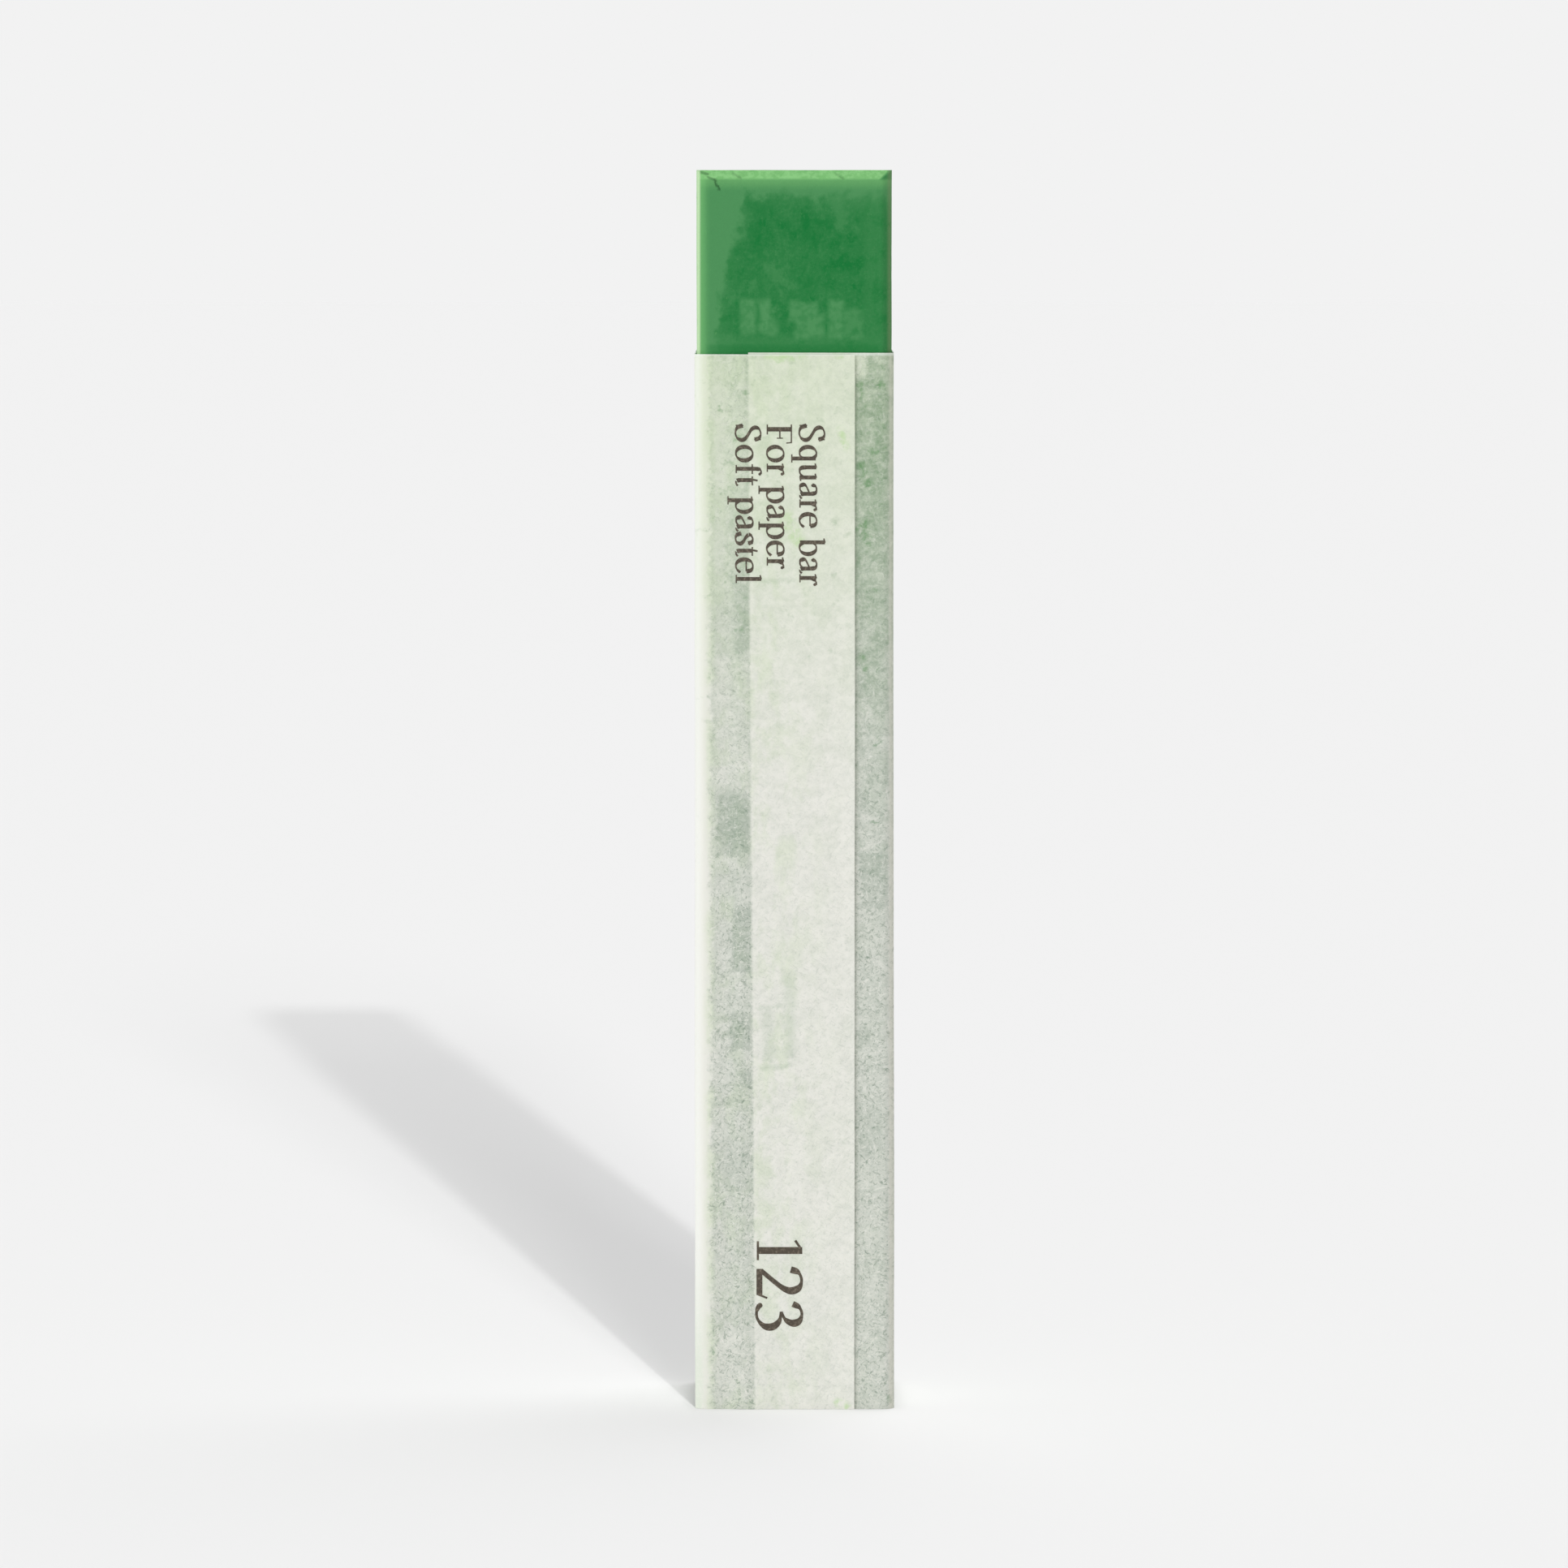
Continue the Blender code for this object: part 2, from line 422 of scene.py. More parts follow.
def pastel_scuffs_and_sleeve_shadow(g, at, colour):
    """Pale grains all over, deeper green scuffs on the front, and a painted shadow line on the stick just
    above the sleeve's top.
    """
    grains = g.step(g.noise(at.mm, 5.5, 2.0, 0.5, seed=6), 0.68, 0.78)
    colour = g.mix(g.mul(grains, 0.25), colour, PASTEL_PALE)
    scuff_x = g.add(at.smudge_x, g.mul(at.ragged, 1.3))
    scuff_z = g.add(at.smudge_z, g.mul(at.ragged, -1.1))
    scuffs = g.marks(scuff_x, scuff_z, SCUFFS, 0.32)
    colour = g.mix(g.mul(scuffs, at.front), colour, PASTEL_DEEP)
    # Painted shadow: a darker line just above the sleeve's top edge, where the sleeve meets the bare stick.
    above_sleeve = g.step(g.add(at.z, g.mul(at.wander, 0.3)), WRAP_MM + 0.55, WRAP_MM + 0.25)
    sleeve_shadow_line = g.mul(g.step(at.z, WRAP_MM - 0.2, WRAP_MM), above_sleeve)
    sleeve_shadow_line = g.mul(sleeve_shadow_line, g.step(g.math("ABSOLUTE", at.x), HALF_MM - 0.3, HALF_MM - 0.9))
    return g.mix(g.mul(sleeve_shadow_line, 0.45), colour, PASTEL_DEEP)


def pastel_cracks(g, at):
    """How deep the hairline cracks along the front's top edge are, 0 to 1."""
    crack_x = g.add(at.x, g.mul(g.sub(g.noise(at.mm, 4.0, 2.0), 0.5), 0.35))
    cracks = 0.0
    for start, end, strength in CRACKS:
        crack = g.stroke(crack_x, at.z, start, end, CRACK_WIDTH, 0.0)
        cracks = g.either(cracks, g.mul(crack, strength))
    return g.mul(cracks, at.front)


def pastel_material():
    """Pressed pigment: mottled, dusty, paler along its edges, with some rubbed marks and hairline cracks, a
    painted highlight along the front's top and left, and painted shade at the top right mitre and above the
    sleeve.
    """
    g = Graph("pastel_green")
    mm, x, y, z = g.millimetres()
    at = SimpleNamespace(mm=mm, x=x, y=y, z=z)
    at.front = g.step(y, -HALF_MM + 0.9, -HALF_MM + 0.3)
    at.elsewhere = g.inverse(at.front)
    at.wander = g.sub(g.noise(mm, 1.3, 3.0, 0.6, seed=1), 0.5)
    at.ragged = g.sub(g.noise(mm, 4.5, 2.0, 0.5, seed=2), 0.5)
    at.worn = g.noise(mm, 3.0, 3.0, 0.6, seed=5)
    at.smudge_x = g.add(x, g.mul(at.wander, 0.35))
    at.smudge_z = g.add(z, g.mul(at.wander, 0.5))

    colour = pastel_dust_and_light(g, at, pastel_mottle(g, at))
    colour = pastel_smudges(g, at, colour)
    colour = pastel_edges(g, at, colour)
    colour = pastel_scuffs_and_sleeve_shadow(g, at, colour)
    cracks = pastel_cracks(g, at)
    colour = g.mix(g.mul(cracks, 0.62), colour, PASTEL_CRACK)

    grain = g.noise(mm, 16.0, 3.0, 0.7)
    coarse = g.noise(mm, 2.6, 4.0, 0.6)
    height = g.sub(g.add(g.mul(grain, 0.35), g.mul(coarse, 0.65)), g.mul(cracks, 0.8))
    normal = g.bump(height, 0.06 * MM, 0.7)
    return g.finish(colour, 0.92, normal, specular=0.12)


PAPER_LOW = srgb(238, 238, 230)
PAPER_HIGH = srgb(227, 234, 213)
PAPER_TINT = srgb(206, 224, 184)
PAPER_LEFT_HIGHLIGHT = srgb(238, 241, 238)
PAPER_SHADED = srgb(214, 212, 196)
PAPER_CUT = srgb(240, 246, 240)
PAPER_INNER = srgb(206, 220, 196)
GHOST_LOW = srgb(146, 162, 146)
GHOST_HIGH = srgb(118, 150, 114)
GHOST_FIBRE = srgb(104, 128, 108)
PIGMENT_STAIN = srgb(100, 150, 94)
PIGMENT_WASH = srgb(192, 224, 160)
PIGMENT_SPECK = srgb(44, 120, 58)

# Where more or less of the pigment shows through the front, in millimetres: (x0, x1, z0, z1, strength).
DENSE_PATCHES = [
    (-4.1, -2.35, 29.2, 32.4, 0.26),
    (-3.2, -2.25, 23.0, 26.6, 0.28),
    (-3.4, -2.25, 18.9, 20.9, 0.24),
    (-2.9, -2.25, 16.9, 17.9, 0.20),
    (3.5, 4.9, 26.4, 29.4, 0.20),
    (3.3, 4.0, 19.0, 20.2, 0.14),
    (3.2, 4.6, 13.4, 16.6, 0.10),
    (-3.1, -2.35, 39.9, 43.4, 0.14),
    (-4.2, -2.10, 11.6, 14.2, 0.12),
]
PALE_PATCHES = [
    (-4.1, -2.40, 32.8, 39.4, 0.10),
    (3.0, 3.80, 54.15, 55.6, 0.34),
    (3.2, 5.20, 54.40, 55.6, 0.12),
    (-4.3, -2.50, 48.0, 55.4, 0.10),
    (-4.1, -2.40, 0.0, 4.0, 0.08),
]

# Pigment on the front of the paper, in millimetres: (start, end, width).
GREEN_SMEARS = [
    ((3.46, 53.90), (3.60, 53.10), 0.22),
    ((4.50, 53.95), (4.66, 53.60), 0.30),
    ((3.55, 49.60), (3.86, 48.60), 0.42),
    ((3.60, 46.80), (3.86, 45.45), 0.42),
    ((3.55, 39.60), (3.70, 39.00), 0.30),
    ((2.30, 0.40), (2.75, 0.20), 0.34),
    ((-0.60, 55.45), (0.45, 55.45), 0.46),
    ((-1.30, 55.40), (-0.80, 55.10), 0.36),
    ((2.40, 51.50), (2.70, 50.60), 0.34),
    ((-0.40, 46.90), (0.20, 45.70), 0.60),
    ((2.10, 55.45), (2.45, 55.40), 0.28),
]
DARK_SPECKS = [
    ((-4.24, 3.05), (-4.22, 2.95), 0.09),
    ((4.98, 0.62), (5.06, 0.40), 0.16),
    ((4.40, 39.00), (4.30, 38.80), 0.08),
    ((4.55, 35.20), (4.20, 35.00), 0.08),
    ((4.45, 31.00), (4.05, 30.92), 0.06),
]
FAINT_TICKS = [
    ((-1.9, 43.6), (-0.1, 43.6), 0.22),
    ((-1.8, 21.2), (0.0, 21.3), 0.20),
    ((-1.7, 18.0), (-0.2, 18.2), 0.22),
    ((-0.3, 22.6), (-0.2, 18.8), 0.55),
    ((-1.4, 20.8), (-1.3, 18.6), 0.60),
]


def bare_paper(g, at):
    """The paper's colour: greener towards the top, washed with pigment, whiter at the left edge, where the
    sheet stands off the stick and a painted highlight stands for the light from the left.
    """
    white = g.mix(g.step(at.uneven_z, 31.0, 56.0), PAPER_LOW, PAPER_HIGH)
    wash = g.noise(g.stretch(at.flat, (1.0, 0.5, 1.0)), 1.0, 2.0, 0.5, seed=5)
    washed = g.step(g.add(wash, g.mul(at.cloud, 0.3)), 0.40, 0.70)
    tinted = g.mul(washed, g.mix_value(g.step(at.x, 2.5, -1.5), 0.06, 0.34))
    beside_fold = g.mul(g.step(at.x, -4.80, -4.40), g.step(at.x, -3.9, -4.3))
    fold_tint = g.mul(g.mul(beside_fold, g.step(wash, 0.30, 0.60)), 0.4)
    tinted = g.either(g.mul(tinted, g.step(at.x, -4.9, -4.5)), fold_tint)
    white = g.mix(tinted, white, PAPER_TINT)
    # Painted highlight: the sheet is whiter round the left edge, on the side the light comes from.
    white = g.mix(g.mul(g.step(at.x, -4.75, -5.05), 0.4), white, PAPER_LEFT_HIGHLIGHT)
    front_edge = g.mul(g.step(at.x, -4.6, -5.0), g.step(at.y, -HALF_MM + 1.2, -HALF_MM + 0.6))
    soiled_foot = g.mul(front_edge, g.step(at.z, 9.0, 1.0))
    return g.mix(g.mul(soiled_foot, 0.45), white, PAPER_INNER)


def contact(g, at):
    """1 where the paper touches the stick, less at the folds and where the front bulges on the left."""
    in_face = g.math("MINIMUM", g.math("ABSOLUTE", at.x), g.math("ABSOLUTE", at.y))
    wide_gap = g.step(g.add(in_face, g.mul(at.cloud, 0.9)), HALF_MM - 0.95, HALF_MM - 0.55)
    wide_gap = g.mul(wide_gap, g.step(at.x, -4.0, -4.2))
    slight_gap = g.mul(g.step(in_face, HALF_MM - 0.24, HALF_MM - 0.05), 0.4)
    bulge = g.step(g.add(at.x, at.cloud), -3.2, -3.7)
    bulge = g.mul(bulge, g.mix_value(g.step(at.z, 38.0, 47.0), 0.10, 0.45))
    return g.inverse(g.either(wide_gap, g.either(slight_gap, bulge)))


def ghost_share(g, at):
    """How much of the pigment shows through: uneven, least under two layers, most high on the right."""
    right = g.mul(g.step(at.x, FREE_EDGE_MM - 0.1, FREE_EDGE_MM + 0.1), at.front)
    base = g.add(0.38, g.mul(g.mul(right, g.step(at.z, 26.0, 50.0)), 0.24))
    patch_x, patch_z = g.add(at.x, g.mul(at.cloud, 0.5)), g.add(at.z, g.mul(at.cloud, 0.9))
    dense = g.marks(patch_x, patch_z, DENSE_PATCHES, 0.14, "ADD")
    pale = g.marks(patch_x, patch_z, PALE_PATCHES, 0.2, "ADD")
    base = g.add(base, g.mul(g.sub(dense, pale), at.front))
    unevenness = g.add(g.add(g.mul(at.blotch, 0.9), at.cloud), g.mul(at.clump, 0.5))
    liveliness = g.mix_value(g.mul(right, g.step(at.z, 20.0, 40.0)), 0.48, 0.832)
    share = g.add(g.mul(base, g.mix_value(at.doubled, 1.0, 0.22)), g.mul(unevenness, liveliness))
    share = g.mul(g.mul(share, at.touching), g.mix_value(at.doubled, 1.0, 0.75))
    return g.math("MAXIMUM", share, 0.0, clamp=True)


def paper_fibres(g, at, colour):
    """Dark and light fibres, clearer low down and in a single layer."""
    light_fibres = g.either(g.fibres(at.flat, 80, 3), g.fibres(at.flat, -15, 4))
    clearness = g.mix_value(g.step(at.z, 46.0, 20.0), 0.45, 1.0)
    dark_share = g.mul(g.mul(clearness, at.touching), g.mix_value(at.doubled, 0.66, 0.19))
    colour = g.mix(g.mul(at.dark_fibres, dark_share), colour, GHOST_FIBRE)
    light_share = g.mul(clearness, g.mix_value(at.doubled, 0.66, 0.38))
    return g.mix(g.mul(light_fibres, light_share), colour, PAPER_LOW)


def paper_stains(g, at, colour):
    """Pigment rubbed into the paper: stains that grow towards the top, and the front's smears and specks."""
    stain_noise = g.noise(at.flat, 1.4, 3.0, 0.65, seed=4)
    strength = g.mul(g.step(at.z, 22.0, 52.0), g.mix_value(g.inverse(at.doubled), 0.16, 0.45))
    strength = g.mul(g.add(0.08, strength), g.mix_value(g.step(at.x, -4.9, -4.4), 0.3, 1.0))
    colour = g.mix(g.mul(g.step(stain_noise, 0.58, 0.76), strength), colour, PIGMENT_STAIN)
    smear_x, smear_z = g.add(at.x, g.mul(at.clump, 0.45)), g.add(at.z, g.mul(at.cloud, 0.5))
    smears = g.mul(g.lines(smear_x, smear_z, GREEN_SMEARS), at.front)
    smears = g.mul(smears, g.mul(g.step(at.cloud, -0.20, 0.28), 0.72))
    colour = g.mix(smears, colour, g.mix(at.doubled, PIGMENT_STAIN, PIGMENT_WASH))
    ticks = g.mul(g.lines(smear_x, smear_z, FAINT_TICKS), at.front)
    colour = g.mix(g.mul(ticks, 0.14), colour, PIGMENT_STAIN)
    specks = g.mul(g.lines(smear_x, smear_z, DARK_SPECKS), at.front)
    return g.mix(g.mul(specks, 0.4), colour, PIGMENT_SPECK)


def paper_material():
    """Thin paper that the pigment shows through: strongly where one layer touches it, faintly under two."""
    g = Graph("label_paper")
    _, x, y, z = g.millimetres()
    along, height, inner_side = g.split(g.attribute("sheet"))
    flat = g.join(along, height, 0.0)
    at = SimpleNamespace(x=x, y=y, z=z, flat=flat)
    at.front = g.step(y, -HALF_MM + 1.0, -HALF_MM + 0.2)
    at.blotch = g.sub(g.noise(flat, 0.7, 3.0, 0.55), 0.5)
    at.cloud = g.sub(g.noise(flat, 2.2, 3.0, 0.62, 0.4), 0.5)
    at.clump = g.sub(g.noise(flat, 5.0, 2.0, 0.6, 0.6), 0.5)
    at.uneven_z = g.add(z, g.mul(at.blotch, 8.0))
    from_top = g.sub(1.0, g.mul(z, 1 / WRAP_MM))
    under_edge = g.add(UNDER_EDGE_TOP_X / MM, g.mul(from_top, UNDER_EDGE_LEAN / MM))
    past_under_edge = g.step(g.sub(x, under_edge), -0.09, 0.09)
    before_free_edge = g.step(x, FREE_EDGE_MM + 0.02, FREE_EDGE_MM)
    at.doubled = g.mul(g.mul(past_under_edge, before_free_edge), at.front)
    at.touching = contact(g, at)
    at.dark_fibres = g.either(g.fibres(flat, 30, 1), g.fibres(flat, -55, 2))

    ghost = g.mix(g.step(at.uneven_z, 24.0, 53.0), GHOST_LOW, GHOST_HIGH)
    colour = g.mix(ghost_share(g, at), bare_paper(g, at), ghost)
    colour = paper_stains(g, at, paper_fibres(g, at, colour))
    # Painted shade down the front's right edge, which turns away from the light.
    shaded_right_edge = g.mul(g.step(x, HALF_MM - 0.20, HALF_MM - 0.02), g.step(y, -HALF_MM + 0.5, -HALF_MM + 0.2))
    colour = g.mix(g.mul(shaded_right_edge, 0.40), colour, PAPER_SHADED)
    cut_edge = g.step(g.add(height, g.mul(at.cloud, 0.06)), WRAP_MM - 0.20, WRAP_MM - 0.12)
    colour = g.mix(g.mul(cut_edge, 0.45), colour, PAPER_CUT)
    colour = g.mix(g.mul(inner_side, 0.7), colour, PAPER_INNER)

    fine = g.noise(flat, 9.0, 4.0, 0.65)
    relief = g.add(g.mul(fine, 0.4), g.add(g.mul(at.cloud, 0.5), g.mul(at.dark_fibres, -0.25)))
    normal = g.bump(relief, 0.02 * MM, 0.5)
    return g.finish(colour, 0.82, normal, specular=0.2)


INK_DENSE = srgb(84, 76, 66)
INK_THIN = srgb(130, 120, 105)
GLUE_PALE = srgb(214, 205, 172)
GLUE_AMBER = srgb(190, 176, 134)


def ink_material():
    """Brown-black printing ink, thin where the paper's tooth shows."""
    g = Graph("label_ink")
    mm = g.millimetres()[0]
    tooth = g.noise(mm, 6.0, 3.0, 0.6)
    colour = g.mix(g.step(tooth, 0.45, 0.75), INK_DENSE, INK_THIN)
    return g.finish(colour, 0.7, g.bump(tooth, 0.01 * MM, 0.5), specular=0.25)


def glue_material():
    """A dried film of paste, amber and uneven."""
    g = Graph("dried_glue")
    mm = g.millimetres()[0]
    ripple = g.noise(g.stretch(mm, (1.0, 1.0, 0.3)), 1.5, 3.0, 0.6)
    colour = g.mix(ripple, GLUE_PALE, GLUE_AMBER)
    return g.finish(colour, 0.35, g.bump(ripple, 0.02 * MM, 0.5), specular=0.5)


# ---------------------------------------------------------------- the stick


def edge_spaced(low, high, band, fine, coarse):
    """Values from low to high, in fine steps within band of either end and coarse ones between."""
    near = np.linspace(low, low + band, round(band / fine) + 1)
    far = np.linspace(high - band, high, round(band / fine) + 1)
    middle = np.linspace(low + band, high - band, round((high - low - 2 * band) / coarse) + 1)
    return np.concatenate([near, middle[1:-1], far])


BEVEL_POWER = 1.3  # 1 is a flat bevel, 2 a quarter round


def core_point(x, y, z):
    """The nearest point of the bar's core, which lies an edge radius inside all its faces."""
    return (
        min(max(x, -CORNER_INSET), CORNER_INSET),
        min(max(y, -CORNER_INSET), CORNER_INSET),
        min(max(z, EDGE_RADIUS), STICK_TOP - EDGE_RADIUS),
    )


def rounded(point):
    """A point on the square bar's surface, moved onto the bar with bevels round its front and back faces."""
    x, y, z = point
    inner_x, inner_y, inner_z = core_point(x, y, z)
    out_x, out_y, out_z = x - inner_x, y - inner_y, z - inner_z
    beside, depth = max(abs(out_x), abs(out_z)), abs(out_y)
    if beside == 0 or depth == 0:
        return Vector(point)
    shrink = max(beside, depth) / (beside**BEVEL_POWER + depth**BEVEL_POWER) ** (1 / BEVEL_POWER)
    return Vector((inner_x + out_x * shrink, inner_y + out_y * shrink, inner_z + out_z * shrink))


def worn_inward(point):
    """How far the surface lies below the ideal bar: shallow waves, and chips along the edges."""
    x, y, z = point
    waves = 0.012 * MM * (1 + noise_at(x, y, z, 0.35))
    face_x, face_y = STICK_HALF - abs(x), STICK_HALF - abs(y)
    face_z = min(z, STICK_TOP - z)
    second_nearest = sorted((face_x, face_y, face_z))[1]
    on_edge = float(1 - smooth(second_nearest, 0.2 * MM, 0.7 * MM))
    chip = max(0.0, noise_at(x, y, z, 1.1) - 0.25) + 0.5 * max(0.0, noise_at(x, y, z + 0.01, 2.7) - 0.35)
    bare = float(smooth(z, SLEEVE_TOP - 1.0 * MM, SLEEVE_TOP + 1.0 * MM))
    return waves + on_edge * chip * (0.10 + 0.08 * bare) * MM


def make_stick(material):
    """The bar as a fine grid over its six sides, bevelled and worn."""
    across = edge_spaced(-STICK_HALF, STICK_HALF, 0.8 * MM, 0.1 * MM, 0.24 * MM)
    covered = np.linspace(0.8 * MM, SLEEVE_TOP - 1.0 * MM, 110)
    bare = np.linspace(SLEEVE_TOP - 1.0 * MM, STICK_TOP - 0.8 * MM, 44)
    ends = np.linspace(0.0, 0.8 * MM, 9)
    up = np.concatenate([ends[:-1], covered[:-1], bare[:-1], STICK_TOP - ends[::-1]])
    grids = (across, across, up)
    last = [len(g) - 1 for g in grids]
    index, points = {}, []

    def vertex(cell):
        if cell not in index:
            index[cell] = len(points)
            place = rounded([g[i] for g, i in zip(grids, cell)])
            outward = (place - Vector(core_point(*place))).normalized()
            points.append(place - outward * worn_inward(place))
        return index[cell]

    faces = []
    for axis in range(3):
        first, second = [a for a in range(3) if a != axis]
        for end in (0, last[axis]):
            flipped = (end == 0) != (axis == 1)
            for i in range(last[first]):
                for j in range(last[second]):
                    corners = []
                    for di, dj in ((0, 0), (1, 0), (1, 1), (0, 1)):
                        cell = [0, 0, 0]
                        cell[axis], cell[first], cell[second] = end, i + di, j + dj
                        corners.append(vertex(tuple(cell)))
                    faces.append(corners[::-1] if flipped else corners)
    stick = mesh_object("pressed_pastel", points, faces, "stick", material)
    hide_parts("pastel_stick")
    return stick


# ---------------------------------------------------------------- the sleeve


SHEET_ROWS = 186  # of points, from the sleeve's bottom to its top


def under_edge_x(z):
    """The near end of the sheet leans slightly, and its cut is a little uneven."""
    return UNDER_EDGE_TOP_X + UNDER_EDGE_LEAN * (1 - z / SLEEVE_TOP) + 0.01 * MM * noise_at(0, 0, z, 0.5)


def free_edge_x(z):
    return FREE_EDGE_X + 0.02 * MM * noise_at(0.01, 0, z, 0.12) + 0.004 * MM * noise_at(0.02, 0, z, 3.0)


def slack(x, y, z):
    """How far the sheet stands off the stick beyond its snug place, the same for both layers of the lap."""
    waves = max(0.0, noise_at(x, y, z * 0.45, 0.28) + 0.25) * 0.03 * MM
    ripples = max(0.0, noise_at(x, y, z, 0.7)) * 0.006 * MM
    to_right = max(0.0, min(1.0, x / STICK_HALF))
    flare = 0.07 * MM * to_right**4 * float(1 - smooth(z, 2 * MM, 42 * MM))
    return waves + ripples + flare


def top_layer_y(x, z):
    """Where the front of the top layer is, for the print that lies on it."""
    climb = float(smooth(x, STEP_START_X, STEP_END_X))
    layer = FIRST_LAYER + (TOP_LAYER - FIRST_LAYER) * climb
    return -(STICK_HALF + layer + slack(x, -STICK_HALF, z) + edge_lift(x, z) + PAPER / 2)


def edge_lift(x, z):
    """The free edge stands up slightly, more in some places than in others."""
    near_edge = float(smooth(x, FREE_EDGE_X - 1.2 * MM, FREE_EDGE_X))
    return near_edge**2 * (0.02 + 0.02 * noise_at(0.03, 0, z, 0.15)) * MM


def sheet_stations():
    """The sheet seen from above, from its near end on: (x, y, outward x, outward y, layer, pull).

    x and y are on the stick's surface, and the middle of the sheet lies the distance layer outward of them.
    pull is 1 at the near end and -1 at the far end, where the cut edges wander.
    """
    stations = []
    for t in np.linspace(0, 1, 26)[:-1]:
        x = UNDER_EDGE_X + (CORNER_INSET - UNDER_EDGE_X) * t
        stations.append((x, -STICK_HALF, 0.0, -1.0, FIRST_LAYER, 1 - t))
    corners = ((1, -1, -90), (1, 1, 0), (-1, 1, 90), (-1, -1, 180))
    for sign_x, sign_y, start in corners:
        for t in np.linspace(0, 1, 9):
            angle = math.radians(start + 90 * t)
            away_x, away_y = math.cos(angle), math.sin(angle)
            x, y = sign_x * CORNER_INSET + EDGE_RADIUS * away_x, sign_y * CORNER_INSET + EDGE_RADIUS * away_y
            stations.append((x, y, away_x, away_y, FIRST_LAYER, 0.0))
        if (sign_x, sign_y) != (-1, -1):
            end = math.radians(start + 90)
            away_x, away_y = math.cos(end), math.sin(end)
            along_x, along_y = -away_y, away_x
            for t in np.linspace(-1, 1, 26)[1:-1]:
                x = away_x * STICK_HALF + along_x * CORNER_INSET * t
                y = away_y * STICK_HALF + along_y * CORNER_INSET * t
                stations.append((x, y, away_x, away_y, FIRST_LAYER, 0.0))
    for x in np.linspace(-CORNER_INSET, STEP_START_X, 6)[1:-1]:
        stations.append((x, -STICK_HALF, 0.0, -1.0, FIRST_LAYER, 0.0))
    for x in np.linspace(STEP_START_X, STEP_END_X, 9):
        layer = FIRST_LAYER + (TOP_LAYER - FIRST_LAYER) * float(smooth(x, STEP_START_X, STEP_END_X))
        stations.append((x, -STICK_HALF, 0.0, -1.0, layer, 0.0))
    for x in np.linspace(STEP_END_X, FREE_EDGE_X, 32)[1:]:
        pull = -max(0.0, (x - FREE_EDGE_X) / (0.8 * MM) + 1)
        stations.append((x, -STICK_HALF, 0.0, -1.0, TOP_LAYER, pull))
    return stations


def make_sleeve(material):
    """One sheet of paper around the stick, with two faces, cut edges, slack and a lap on the front."""
    stations = sheet_stations()
    lengths = [0.0]
    for a, b in zip(stations, stations[1:]):
        lengths.append(lengths[-1] + math.hypot(a[0] - b[0], a[1] - b[1]))
    points, unrolled = [], []
    for row in range(SHEET_ROWS):
        t = row / (SHEET_ROWS - 1)
        for length, (x, y, away_x, away_y, layer, pull) in zip(lengths, stations):
            top = SLEEVE_TOP - WRAP_SLIP * length / lengths[-1] + 0.006 * MM * noise_at(length, 0, 0, 2.5)
            bottom = 0.004 * MM * (1 + noise_at(length, 0.01, 0, 2.5))
            z = bottom + (top - bottom) * t
            if pull > 0:
                x += (under_edge_x(z) - UNDER_EDGE_X) * pull
            elif pull < 0:
                x += (free_edge_x(z) - FREE_EDGE_X) * -pull
            lift = edge_lift(x, z) if layer == TOP_LAYER else 0.0
            middle = layer + slack(x, y, z) + lift
            for side in (1, -1):
                reach = middle + side * PAPER / 2
                points.append((x + away_x * reach, y + away_y * reach, z))
                unrolled.append((length / MM, z / MM, (1 - side) / 2))
    columns = len(stations)

    def at(row, column, side):
        return (row * columns + column) * 2 + side

    faces = []
    for row in range(SHEET_ROWS - 1):
        for c in range(columns - 1):
            faces.append((at(row, c, 0), at(row, c + 1, 0), at(row + 1, c + 1, 0), at(row + 1, c, 0)))
            faces.append((at(row, c, 1), at(row + 1, c, 1), at(row + 1, c + 1, 1), at(row, c + 1, 1)))
        faces.append((at(row, 0, 0), at(row + 1, 0, 0), at(row + 1, 0, 1), at(row, 0, 1)))
        c = columns - 1
        faces.append((at(row, c, 0), at(row, c, 1), at(row + 1, c, 1), at(row + 1, c, 0)))
    for c in range(columns - 1):
        faces.append((at(0, c, 0), at(0, c, 1), at(0, c + 1, 1), at(0, c + 1, 0)))
        r = SHEET_ROWS - 1
        faces.append((at(r, c, 0), at(r, c + 1, 0), at(r, c + 1, 1), at(r, c, 1)))
    sleeve = mesh_object("wrapped_label", points, faces, "sleeve", material)
    attribute = sleeve.data.attributes.new("sheet", "FLOAT_VECTOR", "POINT")
    attribute.data.foreach_set("vector", np.array(unrolled, np.float32).ravel())
    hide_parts("paper_sleeve")
    return sleeve


# ---------------------------------------------------------------- the print


# Letters on a grid of 1000 units to the em, built from strokes.
# A curve or ring is as wide as a broad pen would make it; lines and dots have their own widths.
THICK, HAIR = 92, 34
INK_SPREAD = 1.2  # the ink spreads into the paper, so a stroke prints this many times as wide
PEN_ANGLE = math.radians(12)


def ring(cx, cy, rx, ry, start=0, end=360):
    """An ellipse, or its arc from start to end degrees."""
    steps = 28
    angles = [math.radians(start + (end - start) * i / steps) for i in range(steps + 1)]
    return ("path", [(cx + rx * math.cos(a), cy + ry * math.sin(a)) for a in angles])


def spline(a, b, c, d, t):
    """The smooth curve through a, b, c and d, at the share t of the way from b to c."""
    bend, twist = 2 * a - 5 * b + 4 * c - d, 3 * b - a - 3 * c + d
    return 0.5 * (2 * b + (c - a) * t + bend * t**2 + twist * t**3)


